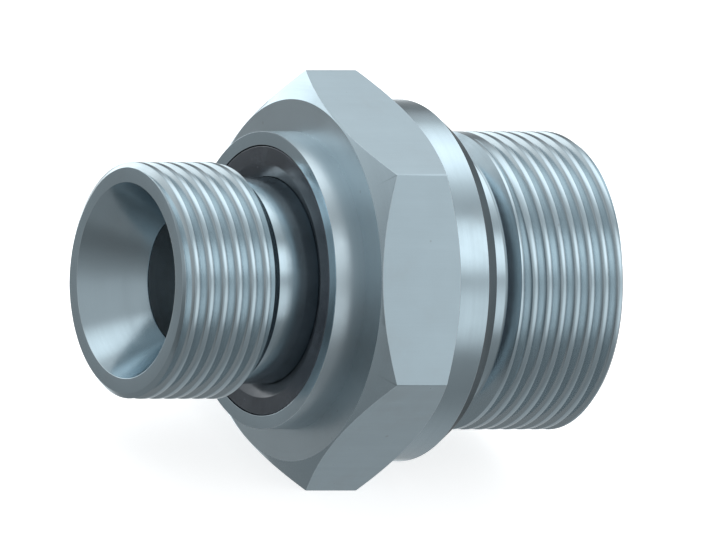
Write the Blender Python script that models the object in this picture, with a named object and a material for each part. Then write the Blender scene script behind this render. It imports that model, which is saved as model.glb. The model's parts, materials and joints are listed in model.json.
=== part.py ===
"""Threaded adapter: a steel hexagon fitting with a pipe thread on each end and two seal rings.

The body is one piece turned from hexagon bar. Its axis lies along X with the small end at -X,
and it rests on one flat of the hexagon. The origin is on the plane of that flat, under the
middle of the overall length. Both threads are helical and right-handed, and each runs out
into a relief groove in front of a collar. A captive rubber ring sits in the face of each
collar.
"""

import math

import bmesh
import bpy

# Hexagon, with the chamfers that a turned hexagon has at both ends. The turned blank stands
# proud of the hexagon's corners by the allowance until the flats trim it.
HEX_ACROSS_FLATS = 0.0406
HEX_LENGTH = 0.0102
HEX_FACE_DIAMETER = 0.04036
HEX_CHAMFER_ANGLE = math.radians(30)
TURNED_BLANK_ALLOWANCE = 0.0004

# Thread form, a 55 degree pipe thread with 14 threads to the inch, the same on both ends
THREADS_PER_INCH = 14
THREAD_DEPTH = 0.00116
THREAD_CREST_FLAT = 0.00030
THREAD_FLANK_ANGLE = math.radians(27.5)
RELIEF_RAMP_ANGLE = math.radians(35)

# Small end
SMALL_THREAD_DIAMETER = 0.026441
SMALL_STUD_LENGTH = 0.01745
SMALL_THREAD_LENGTH = 0.0115
SMALL_END_CHAMFER = 0.00062
SMALL_RELIEF_DIAMETER = 0.02305
SMALL_COLLAR_DIAMETER = 0.0332
SMALL_COLLAR_LENGTH = 0.0038
SMALL_COLLAR_FILLET = 0.0026
SMALL_RECESS_DIAMETER = 0.03016
SMALL_MOUTH_DIAMETER = 0.0219
SMALL_BORE_DIAMETER = 0.0140
SMALL_FIRST_CREST = 0.00522

# Large end
LARGE_THREAD_DIAMETER = 0.033249
LARGE_STUD_LENGTH = 0.01805
LARGE_THREAD_LENGTH = 0.01355
LARGE_END_CHAMFER = 0.00062
LARGE_RELIEF_DIAMETER = 0.0306
LARGE_COLLAR_DIAMETER = 0.04036
LARGE_COLLAR_LENGTH = 0.0054
LARGE_COLLAR_CHAMFER = 0.00165
LARGE_RECESS_DIAMETER = 0.0357
LARGE_MOUTH_DIAMETER = 0.0282
LARGE_BORE_DIAMETER = 0.0200
LARGE_BORE_DEPTH = 0.0220
LARGE_FIRST_CREST = 0.00635

# Cone seats and the drill point between the two bores, as angles to the axis
CONE_SEAT_ANGLE = math.radians(30)
DRILL_POINT_ANGLE = math.radians(59)

# Seal rings, each with a lip that slopes in from its flat front face to its bore
SMALL_SEAL_THICKNESS = 0.0015
SMALL_SEAL_FRONT_DIAMETER = 0.0262
LARGE_SEAL_THICKNESS = 0.0020
LARGE_SEAL_FRONT_DIAMETER = 0.0332
SEAL_LIP_DEPTH = 0.0007
SEAL_CLEARANCE = 0.0003

# Facets round the axis, a whole number to each hexagon flat, and steps in the collar fillet
# and in the ramps of the relief grooves
FACETS_PER_FLAT = 9
FACETS_ROUND = 6 * FACETS_PER_FLAT
FILLET_STEPS = 4
RAMP_STEPS = 3
SMOOTH_BELOW_ANGLE = math.radians(25)

# Where the crests lie: a crest passes its stated place at this angle from +Y towards +Z
CREST_ANGLE = math.radians(150)

# Vertices closer than this are one vertex
MERGE_DISTANCE = 0.000015

# Finishes: linear colour, metallic value and roughness
ZINC_STEEL = ((0.56, 0.62, 0.66), 1.0, 0.28)
BLACK_RUBBER = ((0.022, 0.025, 0.028), 0.0, 0.55)

# Values that follow from the sizes above
THREAD_PITCH = 0.0254 / THREADS_PER_INCH
THREAD_ROOT_FLAT = THREAD_PITCH - THREAD_CREST_FLAT - 2 * THREAD_DEPTH * math.tan(THREAD_FLANK_ANGLE)
HEX_CORNER_RADIUS = HEX_ACROSS_FLATS / math.sqrt(3)
BLANK_RADIUS = HEX_CORNER_RADIUS + TURNED_BLANK_ALLOWANCE
OVERALL_LENGTH = (SMALL_STUD_LENGTH + SMALL_COLLAR_LENGTH + HEX_LENGTH
                  + LARGE_COLLAR_LENGTH + LARGE_STUD_LENGTH)
SMALL_FACE_X = -OVERALL_LENGTH / 2
SMALL_COLLAR_X = SMALL_FACE_X + SMALL_STUD_LENGTH
HEX_START_X = SMALL_COLLAR_X + SMALL_COLLAR_LENGTH
HEX_END_X = HEX_START_X + HEX_LENGTH
LARGE_COLLAR_X = HEX_END_X + LARGE_COLLAR_LENGTH
LARGE_FACE_X = LARGE_COLLAR_X + LARGE_STUD_LENGTH
AXIS_HEIGHT = HEX_ACROSS_FLATS / 2


def remove_old_objects():
    """Empty the scene."""
    for old in list(bpy.data.objects):
        bpy.data.objects.remove(old, do_unlink=True)


def make_finish(name, finish):
    """Return a Principled material with a colour, a metallic value and a roughness."""
    colour, metallic, roughness = finish
    material = bpy.data.materials.new(name)
    material.use_nodes = True
    shader = material.node_tree.nodes["Principled BSDF"]
    shader.inputs["Base Color"].default_value = (*colour, 1.0)
    shader.inputs["Metallic"].default_value = metallic
    shader.inputs["Roughness"].default_value = roughness
    material.diffuse_color = (*colour, 1.0)
    return material


def outline_radius(outline, x):
    """Return the radius of an outline, a list of (x, radius) corners, at the place x."""
    for (x0, r0), (x1, r1) in zip(outline, outline[1:]):
        if x0 <= x <= x1 and x1 > x0:
            return r0 + (r1 - r0) * (x - x0) / (x1 - x0)
    return outline[-1][1] if x > outline[-1][0] else outline[0][1]


def thread_radius(offset, crest_radius):
    """Return the radius of the thread at an offset along the axis from the middle of a crest."""
    from_crest = abs((offset / THREAD_PITCH + 0.5) % 1.0 - 0.5) * THREAD_PITCH
    fall = (from_crest - THREAD_CREST_FLAT / 2) / math.tan(THREAD_FLANK_ANGLE)
    return crest_radius - min(max(fall, 0.0), THREAD_DEPTH)


def threaded_stretch(outline, crest_radius, crest_x, angle):
    """Return the section at one angle of a turned outline that the thread is cut into.

    The corners of the thread move along the axis with the angle. Those beyond an end of the
    stretch stay at that end, so that every angle has the same number of points and the
    points of neighbouring angles join one to one.
    """
    start, end = outline[0][0], outline[-1][0]
    lead = THREAD_PITCH * (angle - CREST_ANGLE) / (2 * math.pi)
    before = math.ceil((crest_x - start) / THREAD_PITCH) + 2
    after = math.ceil((end - crest_x) / THREAD_PITCH) + 2
    corners = (-THREAD_CREST_FLAT / 2, THREAD_CREST_FLAT / 2,
               (THREAD_PITCH - THREAD_ROOT_FLAT) / 2, (THREAD_PITCH + THREAD_ROOT_FLAT) / 2)
    places = [x for x, _ in outline]
    for turn in range(-before, after + 1):
        for corner in corners:
            place = crest_x + lead + turn * THREAD_PITCH + corner
            places.append(min(max(place, start), end))
    section = []
    for x in sorted(places):
        cut = thread_radius(x - crest_x - lead, crest_radius)
        section.append((x, min(cut, outline_radius(outline, x))))
    return section


def ramp_points(x0, r0, x1, r1):
    """Return evenly spaced points on a straight ramp, without its first point."""
    return [(x0 + (x1 - x0) * step / RAMP_STEPS, r0 + (r1 - r0) * step / RAMP_STEPS)
            for step in range(1, RAMP_STEPS + 1)]


def small_stud_outline():
    """Return the blank of the small stud, from its end face to its relief groove."""
    crest = SMALL_THREAD_DIAMETER / 2
    relief = SMALL_RELIEF_DIAMETER / 2
    thread_end = SMALL_FACE_X + SMALL_THREAD_LENGTH
    relief_start = thread_end + (crest - relief) * math.tan(RELIEF_RAMP_ANGLE)
    return [
        (SMALL_FACE_X, crest - SMALL_END_CHAMFER),
        (SMALL_FACE_X + SMALL_END_CHAMFER, crest),
        (thread_end, crest),
        *ramp_points(thread_end, crest, relief_start, relief),
    ]


def large_stud_outline():
    """Return the blank of the large stud, from its relief groove to its end face."""
    crest = LARGE_THREAD_DIAMETER / 2
    relief = LARGE_RELIEF_DIAMETER / 2
    thread_start = LARGE_FACE_X - LARGE_THREAD_LENGTH
    relief_end = thread_start - (crest - relief) * math.tan(RELIEF_RAMP_ANGLE)
    return [
        (relief_end, relief),
        *ramp_points(relief_end, relief, thread_start, crest),
        (LARGE_FACE_X - LARGE_END_CHAMFER, crest),
        (LARGE_FACE_X, crest - LARGE_END_CHAMFER),
    ]


def middle_outline():
    """Return the outline from the small relief groove over the hexagon to the large one."""
    small_collar = SMALL_COLLAR_DIAMETER / 2
    large_collar = LARGE_COLLAR_DIAMETER / 2
    hex_face = HEX_FACE_DIAMETER / 2
    hex_chamfer = (BLANK_RADIUS - hex_face) * math.tan(HEX_CHAMFER_ANGLE)
    fillet = max(min(SMALL_COLLAR_FILLET, SMALL_COLLAR_LENGTH, hex_face - small_collar), 0.0)
    small_floor = SMALL_COLLAR_X + SMALL_SEAL_THICKNESS + SEAL_CLEARANCE
    large_floor = LARGE_COLLAR_X - LARGE_SEAL_THICKNESS - SEAL_CLEARANCE
    points = [
        (small_floor, SMALL_RELIEF_DIAMETER / 2),
        (small_floor, SMALL_RECESS_DIAMETER / 2),
        (SMALL_COLLAR_X, SMALL_RECESS_DIAMETER / 2),
        (SMALL_COLLAR_X, small_collar),
    ]
    for step in range(FILLET_STEPS + 1):
        turn = math.pi / 2 * step / FILLET_STEPS
        points.append((
            HEX_START_X - fillet * (1 - math.sin(turn)),
            small_collar + fillet * (1 - math.cos(turn)),
        ))
    points += [
        (HEX_START_X, hex_face),
        (HEX_START_X + hex_chamfer, BLANK_RADIUS),
        (HEX_END_X - hex_chamfer, BLANK_RADIUS),
        (HEX_END_X, hex_face),
        (HEX_END_X, large_collar),
        (LARGE_COLLAR_X - LARGE_COLLAR_CHAMFER, large_collar),
        (LARGE_COLLAR_X, large_collar - LARGE_COLLAR_CHAMFER),
        (LARGE_COLLAR_X, LARGE_RECESS_DIAMETER / 2),
        (large_floor, LARGE_RECESS_DIAMETER / 2),
        (large_floor, LARGE_RELIEF_DIAMETER / 2),
    ]
    return points


def bore_outline():
    """Return the way through the body, from the large mouth to the small one."""
    small_bore = SMALL_BORE_DIAMETER / 2
    large_bore = LARGE_BORE_DIAMETER / 2
    small_mouth = SMALL_MOUTH_DIAMETER / 2
    large_mouth = LARGE_MOUTH_DIAMETER / 2
    step_x = LARGE_FACE_X - LARGE_BORE_DEPTH
    return [
        (LARGE_FACE_X, large_mouth),
        (LARGE_FACE_X - (large_mouth - large_bore) / math.tan(CONE_SEAT_ANGLE), large_bore),
        (step_x, large_bore),
        (step_x - (large_bore - small_bore) / math.tan(DRILL_POINT_ANGLE), small_bore),
        (SMALL_FACE_X + (small_mouth - small_bore) / math.tan(CONE_SEAT_ANGLE), small_bore),
        (SMALL_FACE_X, small_mouth),
    ]


def body_section(angle):
    """Return the whole closed section of the body at one angle round the axis."""
    return (
        threaded_stretch(small_stud_outline(), SMALL_THREAD_DIAMETER / 2,
                         SMALL_FACE_X + SMALL_FIRST_CREST, angle)
        + middle_outline()
        + threaded_stretch(large_stud_outline(), LARGE_THREAD_DIAMETER / 2,
                           LARGE_FACE_X - LARGE_FIRST_CREST, angle)
        + bore_outline()
    )


def ring_solid(name, section_at, material):
    """Join the closed sections at every angle round the axis into one solid.

    The last set of points stands where the first does, with the thread one pitch further on,
    and the two are merged.
    """
    mesh_data = bmesh.new()
    rows = []
    for station in range(FACETS_ROUND + 1):
        angle = 2 * math.pi * station / FACETS_ROUND
        rows.append([
            mesh_data.verts.new((x, r * math.cos(angle), AXIS_HEIGHT + r * math.sin(angle)))
            for x, r in section_at(angle)
        ])
    for row, following in zip(rows, rows[1:]):
        for index in range(len(row)):
            after = (index + 1) % len(row)
            mesh_data.faces.new((row[index], following[index], following[after], row[after]))
    bmesh.ops.remove_doubles(mesh_data, verts=mesh_data.verts, dist=MERGE_DISTANCE)
    bmesh.ops.recalc_face_normals(mesh_data, faces=mesh_data.faces)
    mesh = bpy.data.meshes.new(name)
    mesh_data.to_mesh(mesh)
    mesh_data.free()
    mesh.materials.append(material)
    mesh.shade_smooth()
    mesh.set_sharp_from_angle(angle=SMOOTH_BELOW_ANGLE)
    solid = bpy.data.objects.new(name, mesh)
    bpy.context.collection.objects.link(solid)
    return solid


def hexagon_bar():
    """Return the hexagon bar that the body is turned from, as the shape that trims it."""
    mesh_data = bmesh.new()
    corners = []
    for side in range(6):
        angle = math.radians(60 * side)
        corners.append(mesh_data.verts.new((
            -OVERALL_LENGTH,
            HEX_CORNER_RADIUS * math.cos(angle),
            AXIS_HEIGHT + HEX_CORNER_RADIUS * math.sin(angle),
        )))
    end = mesh_data.faces.new(corners)
    grown = bmesh.ops.extrude_face_region(mesh_data, geom=[end])
    moved = [part for part in grown["geom"] if isinstance(part, bmesh.types.BMVert)]
    bmesh.ops.translate(mesh_data, verts=moved, vec=(2 * OVERALL_LENGTH, 0.0, 0.0))
    bmesh.ops.recalc_face_normals(mesh_data, faces=mesh_data.faces)
    mesh = bpy.data.meshes.new("hexagon_bar")
    mesh_data.to_mesh(mesh)
    mesh_data.free()
    bar = bpy.data.objects.new("hexagon_bar", mesh)
    bpy.context.collection.objects.link(bar)
    bar.hide_render = True
    bar.display_type = "WIRE"
    return bar


def make_body(material):
    """Turn the body and trim its blank to the six flats of the bar."""
    body = ring_solid("adapter_body", body_section, material)
    trim = body.modifiers.new("hexagon", "BOOLEAN")
    trim.operation = "INTERSECT"
    trim.solver = "EXACT"
    trim.object = hexagon_bar()
    return body


def seal_section(face_x, inward, recess_diameter, relief_diameter, front_diameter, thickness):
    """Return the section of a seal ring that fills the recess behind a collar's face.

    The value inward is 1 where the recess goes towards +X and -1 where it goes towards -X.
    """
    outer = recess_diameter / 2 - SEAL_CLEARANCE
    bore = relief_diameter / 2 + SEAL_CLEARANCE
    back_x = face_x + inward * thickness
    lip_x = face_x + inward * SEAL_LIP_DEPTH
    return [
        (face_x, front_diameter / 2),
        (face_x, outer),
        (back_x, outer),
        (back_x, bore),
        (lip_x, bore),
    ]


def make_seals(material):
    """Make the two captive seal rings."""
    small = seal_section(SMALL_COLLAR_X, 1, SMALL_RECESS_DIAMETER, SMALL_RELIEF_DIAMETER,
                         SMALL_SEAL_FRONT_DIAMETER, SMALL_SEAL_THICKNESS)
    large = seal_section(LARGE_COLLAR_X, -1, LARGE_RECESS_DIAMETER, LARGE_RELIEF_DIAMETER,
                         LARGE_SEAL_FRONT_DIAMETER, LARGE_SEAL_THICKNESS)
    ring_solid("small_end_seal", lambda angle: small, material)
    ring_solid("large_end_seal", lambda angle: large, material)


def main():
    """Build the adapter."""
    remove_old_objects()
    make_body(make_finish("zinc_plated_steel", ZINC_STEEL))
    make_seals(make_finish("black_rubber", BLACK_RUBBER))


main()
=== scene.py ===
"""Looks of a straight hexagon adapter: a zinc plated steel body and its two captive seal rings.

The body is one mesh. Its blank is turned round the axis with the hexagon already on it, and is
then cut by the envelope of the two helical threads, which Geometry Nodes make.
"""

import json
import logging
import math
from collections.abc import Callable
from dataclasses import dataclass
from enum import Enum

import bmesh
import bpy
from mathutils import Matrix, Vector


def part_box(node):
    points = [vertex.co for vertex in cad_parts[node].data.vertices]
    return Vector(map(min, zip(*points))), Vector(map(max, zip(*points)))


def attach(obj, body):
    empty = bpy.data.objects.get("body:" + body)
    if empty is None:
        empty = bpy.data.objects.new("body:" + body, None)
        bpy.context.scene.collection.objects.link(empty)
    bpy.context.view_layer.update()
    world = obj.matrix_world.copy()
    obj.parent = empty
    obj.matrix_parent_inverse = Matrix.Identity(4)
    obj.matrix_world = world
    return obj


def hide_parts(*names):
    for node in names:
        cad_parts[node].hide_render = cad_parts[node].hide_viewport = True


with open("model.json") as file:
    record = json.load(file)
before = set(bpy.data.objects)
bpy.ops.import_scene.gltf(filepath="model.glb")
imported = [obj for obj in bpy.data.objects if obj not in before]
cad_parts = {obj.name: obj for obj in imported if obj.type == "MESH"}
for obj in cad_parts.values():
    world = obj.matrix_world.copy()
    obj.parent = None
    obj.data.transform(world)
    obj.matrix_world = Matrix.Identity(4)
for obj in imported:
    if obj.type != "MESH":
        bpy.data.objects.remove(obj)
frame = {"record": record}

log = logging.getLogger("adapter")

MM = 0.001
ROOT_BODY = "root"

# Points closer together than this are one point.
MERGE_DISTANCE = 2e-7
# A rounding takes at most this share of the straight stretch beside it.
ROUNDING_ROOM = 0.48
# Surfaces of steel, or of rubber, that meet at a wider angle have a sharp edge between them.
STEEL_SHARP_ANGLE = math.radians(24)
RUBBER_SHARP_ANGLE = math.radians(40)
# A face belongs to an outer edge when two of its sides bend by more than this angle and it is
# narrower than this width.
EDGE_ANGLE = math.radians(9)
EDGE_WIDTH = 0.2 * MM
EDGE_ATTRIBUTE = "edge"
# How strongly wide faces hold on to their own shading, from 0 to 100.
WIDE_FACE_WEIGHT = 90
# A facet is turned when it leans sideways by less than this, and corners this close share a ring.
TURNED_LEAN = math.sin(math.radians(0.8))
RING_STEP = 2e-6
# Columns of points across one groove of a thread, and a nudge that keeps their whole numbers from
# being cut down to the one below.
COLUMNS_PER_GROOVE = 12
INDEX_NUDGE = 0.25
# Depth of the finest marks in any finish.
BUMP_DEPTH = 0.02 * MM
WHITE = (1.0, 1.0, 1.0, 1.0)

Point = tuple[float, float]
Colour = tuple[float, float, float]
Tone = tuple[float, float]
Socket = bpy.types.NodeSocket
Outputs = bpy.types.NodeOutputs
Inputs = bpy.types.NodeInputs
Value = Socket | float | tuple[float, ...]


class Surface(Enum):
    """How a stretch of the body's surface was made, as the number of its material, or painted shade.
    """

    TURNED = 0
    DRAWN = 1
    THREADED = 2
    BORED = 3
    # Painted shade: a darker, duller copy of the plating, for the large collar's dark chamfer.
    PAINTED_SHADE = 4
    FACED = 5


class End(Enum):
    """An end of the adapter, as the direction in which it points along X."""

    SMALL = -1
    LARGE = 1


@dataclass(frozen=True)
class Corner:
    """A corner of a turned outline.

    The rounding is the radius of its arc and steps the number of facets in it. The surface is
    that of the stretch from this corner to the next.
    """

    x: float
    radius: float
    rounding: float = 0.0
    steps: int = 2
    surface: Surface = Surface.TURNED


@dataclass(frozen=True)
class SectionPoint:
    """A point of a finished section, with the surface from there to the next point."""

    x: float
    radius: float
    surface: Surface = Surface.TURNED


def round_corner(before: Corner, corner: Corner, after: Corner) -> list[SectionPoint]:
    """Round one corner of an outline with an arc that its two neighbours leave room for.

    Args:
        before: The corner before it.
        corner: The corner to round.
        after: The corner after it.

    Returns:
        The points of the arc, always as many as the corner has steps, and one more. A corner
        with no rounding stays a single point.
    """
    if corner.rounding <= 0.0:
        return [SectionPoint(corner.x, corner.radius, corner.surface)]
    here = Vector((corner.x, corner.radius))
    back = Vector((before.x, before.radius)) - here
    ahead = Vector((after.x, after.radius)) - here
    room = ROUNDING_ROOM * min(back.length, ahead.length)
    back.normalize()
    ahead.normalize()
    half_opening = math.acos(max(-1.0, min(1.0, back.dot(ahead)))) / 2
    tangent = min(corner.rounding / math.tan(half_opening), room)
    start = here + back * tangent
    finish = here + ahead * tangent
    centre = here + (back + ahead).normalized() * (tangent / math.cos(half_opening))
    first = math.atan2(start.y - centre.y, start.x - centre.x)
    last = math.atan2(finish.y - centre.y, finish.x - centre.x)
    sweep = (last - first + math.pi) % (2 * math.pi) - math.pi
    radius = (start - centre).length
    points = []
    for step in range(corner.steps + 1):
        angle = first + sweep * step / corner.steps
        surface = corner.surface if step == corner.steps else Surface.TURNED
        points.append(SectionPoint(
            centre.x + radius * math.cos(angle), centre.y + radius * math.sin(angle), surface))
    return points


def closed_section(corners: list[Corner]) -> list[SectionPoint]:
    """Round every corner of a closed outline.

    Args:
        corners: The outline's corners, in order.

    Returns:
        The points of the rounded outline, in order.
    """
    points = []
    for index, corner in enumerate(corners):
        after = corners[(index + 1) % len(corners)]
        points += round_corner(corners[index - 1], corner, after)
    return points


def even_angles(count: int) -> list[float]:
    """Return evenly spaced angles round the axis, from +Y towards +Z."""
    return [2 * math.pi * index / count for index in range(count)]


def turn_section(
    section_at: Callable[[float], list[SectionPoint]], angles: list[float], height: float
) -> bmesh.types.BMesh:
    """Carry a closed section round the axis.

    Args:
        section_at: Gives the section at an angle, with the same number of points each time.
        angles: The angles of the sections, in order.
        height: Height of the axis over the floor.

    Returns:
        A mesh with the surface of each stretch as the material index of its faces.
    """
    solid = bmesh.new()
    rows, surfaces = [], []
    for angle in angles:
        section = section_at(angle)
        surfaces = [point.surface.value for point in section]
        rows.append([
            solid.verts.new((
                point.x,
                point.radius * math.cos(angle),
                height + point.radius * math.sin(angle),
            ))
            for point in section
        ])
    for row, following in zip(rows, rows[1:] + rows[:1]):
        for index, surface in enumerate(surfaces):
            after = (index + 1) % len(row)
            face = solid.faces.new((row[index], following[index], following[after], row[after]))
            face.material_index = surface
    return solid


def finish_solid(solid: bmesh.types.BMesh, name: str) -> bpy.types.Mesh:
    """Close a solid's seams, turn its faces outwards and make it a mesh.

    Args:
        solid: The solid, which is freed.
        name: The mesh's name.

    Returns:
        The mesh.
    """
    bmesh.ops.remove_doubles(solid, verts=solid.verts, dist=MERGE_DISTANCE)
    bmesh.ops.dissolve_degenerate(solid, edges=solid.edges, dist=MERGE_DISTANCE)
    bmesh.ops.recalc_face_normals(solid, faces=solid.faces)
    mesh = bpy.data.meshes.new(name)
    solid.to_mesh(mesh)
    solid.free()
    return mesh


def smooth_round_surfaces(mesh: bpy.types.Mesh, sharp_angle: float) -> None:
    """Shade the round surfaces smooth and keep the edges past an angle sharp."""
    mesh.shade_smooth()
    mesh.set_sharp_from_angle(angle=sharp_angle)


def mark_edges(mesh: bpy.types.Mesh) -> None:
    """Write on each face whether it is part of a rounded outer edge, for the wear there.

    Args:
        mesh: The mesh, which gets the attribute.
    """
    solid = bmesh.new()
    solid.from_mesh(mesh)
    marks = []
    for face in solid.faces:
        bent = [edge.calc_length() for edge in face.edges
                if edge.calc_face_angle_signed(0.0) > EDGE_ANGLE]
        is_edge = len(bent) >= 2 and face.calc_area() < EDGE_WIDTH * min(bent)
        marks.append(1.0 if is_edge else 0.0)
    solid.free()
    layer = mesh.attributes.new(EDGE_ATTRIBUTE, "FLOAT", "FACE")
    layer.data.foreach_set("value", marks)


def put_in_scene(name: str, mesh: bpy.types.Mesh) -> bpy.types.Object:
    """Make an object of a mesh and link it to the scene.

    Args:
        name: The object's name.
        mesh: Its mesh.

    Returns:
        The object.
    """
    thing = bpy.data.objects.new(name, mesh)
    bpy.context.scene.collection.objects.link(thing)
    return thing


def evaluated_mesh(thing: bpy.types.Object) -> bpy.types.Mesh:
    """Take an object's mesh as its modifiers leave it.

    Args:
        thing: The object.

    Returns:
        A plain mesh of its own.
    """
    bpy.context.view_layer.update()
    graph = bpy.context.evaluated_depsgraph_get()
    return bpy.data.meshes.new_from_object(thing.evaluated_get(graph))


def weigh_normals(thing: bpy.types.Object) -> None:
    """Let wide faces keep their own shading and leave the bend to the narrow ones between them.

    Args:
        thing: The object, whose mesh is replaced by a shaded one of the same name.
    """
    modifier = thing.modifiers.new("weighted_normals", "WEIGHTED_NORMAL")
    modifier.mode = "FACE_AREA"
    modifier.weight = WIDE_FACE_WEIGHT
    modifier.keep_sharp = True
    plain = thing.data
    name = plain.name
    thing.data = evaluated_mesh(thing)
    thing.modifiers.clear()
    bpy.data.meshes.remove(plain)
    thing.data.name = name


def straighten_shading(mesh: bpy.types.Mesh, height: float) -> None:
    """Shade turned surfaces alike all the way round, whatever the width of their facets.

    The corners that lie on one ring, in facets of one slope, share their mean slope.

    Args:
        mesh: The body's mesh.
        height: Height of the axis over the floor.
    """
    normals = [corner.vector.copy() for corner in mesh.corner_normals]
    rings: dict[tuple[int, int, float], list[tuple[int, Vector]]] = {}
    for face in mesh.polygons:
        if Surface(face.material_index) in (Surface.DRAWN, Surface.THREADED):
            continue
        outward = Vector((0.0, face.center.y, face.center.z - height)).normalized()
        sideways = Vector((0.0, -outward.z, outward.y))
        if abs(face.normal.dot(sideways)) > TURNED_LEAN:
            continue
        for corner in face.loop_indices:
            place = mesh.vertices[mesh.loops[corner].vertex_index].co
            outward = Vector((0.0, place.y, place.z - height))
            ring = (round(place.x / RING_STEP), round(outward.length / RING_STEP),
                    round(face.normal.x, 2))
            rings.setdefault(ring, []).append((corner, outward.normalized()))
    for members in rings.values():
        along = sum(normals[corner].x for corner, _ in members)
        out = sum(normals[corner].dot(outward) for corner, outward in members)
        for corner, outward in members:
            normals[corner] = (Vector((along, 0.0, 0.0)) + outward * out).normalized()
    mesh.normals_split_custom_set(normals)


class NodeSheet:
    """Adds nodes to a node tree and joins their sockets."""

    def __init__(self, tree: bpy.types.NodeTree) -> None:
        """Start with the tree to fill."""
        self.tree = tree

    def plug(self, target: Socket, value: Value) -> None:
        """Join a socket to the target, or set a plain value on it.

        Args:
            target: The input to fill.
            value: Another node's output, or a value.
        """
        if isinstance(value, bpy.types.NodeSocket):
            self.tree.links.new(value, target)
        else:
            target.default_value = value

    def add(self, kind: str, inputs: dict[str | int, Value] | None = None,
            **settings: object) -> bpy.types.Node:
        """Add a node.

        Args:
            kind: The node's type name.
            inputs: Values or sockets for its inputs, by name or number.
            settings: Its own settings.

        Returns:
            The new node.
        """
        node = self.tree.nodes.new(kind)
        for setting, value in settings.items():
            setattr(node, setting, value)
        for key, value in (inputs or {}).items():
            self.plug(node.inputs[key], value)
        return node

    def math(self, operation: str, *values: Value) -> Socket:
        """Add a Math node.

        Args:
            operation: The node's operation.
            values: Sockets or numbers for its inputs.

        Returns:
            The result.
        """
        node = self.add("ShaderNodeMath", operation=operation)
        for index, value in enumerate(values):
            self.plug(node.inputs[index], value)
        return node.outputs[0]

    def vector(self, operation: str, *values: Value) -> Socket:
        """Add a Vector Math node.

        Args:
            operation: The node's operation.
            values: Sockets or vectors for its inputs.

        Returns:
            The result, which is a number for some operations.
        """
        node = self.add("ShaderNodeVectorMath", operation=operation)
        for index, value in enumerate(values):
            self.plug(node.inputs[index], value)
        is_number = operation in ("DOT_PRODUCT", "LENGTH", "DISTANCE")
        return node.outputs["Value" if is_number else "Vector"]

    def ramp(self, value: Value, low: Value, high: Value, to_low: Value = 0.0,
             to_high: Value = 1.0, smooth: bool = False) -> Socket:
        """Map a value from one range to another, clamped at both ends.

        Args:
            value: The value.
            low: Where the first range starts.
            high: Where it ends.
            to_low: What its start becomes.
            to_high: What its end becomes.
            smooth: Whether it eases in and out.

        Returns:
            The result.
        """
        node = self.add(
            "ShaderNodeMapRange",
            {"Value": value, "From Min": low, "From Max": high, "To Min": to_low,
             "To Max": to_high},
            interpolation_type="SMOOTHSTEP" if smooth else "LINEAR",
        )
        return node.outputs["Result"]

    def choose(self, index: Socket, values: list[Value]) -> Socket:
        """Pick one of several float values by its number.

        Args:
            index: The number, from 0.
            values: The values to pick from.

        Returns:
            The value.
        """
        node = self.add("GeometryNodeIndexSwitch", data_type="FLOAT")
        while len(node.index_switch_items) < len(values):
            node.index_switch_items.new()
        self.plug(node.inputs["Index"], index)
        for number, value in enumerate(values):
            self.plug(node.inputs[number + 1], value)
        return node.outputs[0]

    def mix(self, factor: Value, first: Value, second: Value) -> Socket:
        """Mix two colours, whose sockets are numbers 6 and 7 of the node.

        Args:
            factor: Share of the second colour.
            first: The first colour.
            second: The second colour.

        Returns:
            The mixed colour.
        """
        node = self.add("ShaderNodeMix", data_type="RGBA")
        self.plug(node.inputs[0], factor)
        self.plug(node.inputs[6], first)
        self.plug(node.inputs[7], second)
        return node.outputs[2]

    def noise(self, place: Socket, scale: Value, detail: float, roughness: float) -> Socket:
        """Add a noise texture.

        Args:
            place: Where it is read.
            scale: How many of its waves go into one unit.
            detail: How many finer waves it has.
            roughness: How strong the finer waves are.

        Returns:
            Its value.
        """
        node = self.add("ShaderNodeTexNoise", {
            "Vector": place, "Scale": scale, "Detail": detail, "Roughness": roughness})
        return node.outputs[0]

    def group(self, tree: bpy.types.NodeTree, inputs: dict[str | int, Value]) -> Outputs:
        """Place a shader group with its own values and return its outputs."""
        return self.add("ShaderNodeGroup", inputs, node_tree=tree).outputs


def new_group(name: str, kind: str, inputs: dict[str, tuple[str, object]],
              outputs: dict[str, str]) -> tuple[bpy.types.NodeTree, NodeSheet, Outputs, Inputs]:
    """Make a node group with named inputs and outputs.

    Args:
        name: The group's name.
        kind: Its tree type.
        inputs: Socket type and default value by name.
        outputs: Socket type by name.

    Returns:
        The tree, a sheet to fill it with, the input node's outputs and the output node's inputs.
    """
    tree = bpy.data.node_groups.new(name, kind)
    for socket_name, (socket_type, default) in inputs.items():
        socket = tree.interface.new_socket(
            name=socket_name, in_out="INPUT", socket_type=socket_type)
        if default is not None:
            socket.default_value = default
    for socket_name, socket_type in outputs.items():
        tree.interface.new_socket(name=socket_name, in_out="OUTPUT", socket_type=socket_type)
    sheet = NodeSheet(tree)
    given = tree.nodes.new("NodeGroupInput").outputs
    result = tree.nodes.new("NodeGroupOutput").inputs
    return tree, sheet, given, result


@dataclass(frozen=True)
class ThreadForm:
    """The form of both threads: a V groove between narrow flat crests.

    The overruns are how far the envelope goes on past the end face and past the relief, in
    pitches. The groove is shut in the last pitch of it, and gone over the bare share.
    """

    pitch: float = 25.4 * MM / 14
    depth: float = 1.00 * MM
    crest_flat: float = 0.66 * MM
    flank_angle: float = math.radians(28.4)
    edge_break: float = 0.13 * MM
    crest_angle: float = math.radians(150)
    stations: int = 240
    outer_overrun: float = 2.2
    inner_overrun: float = 1.5
    bare_share: float = 0.7
    spare_grooves: int = 2


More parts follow.
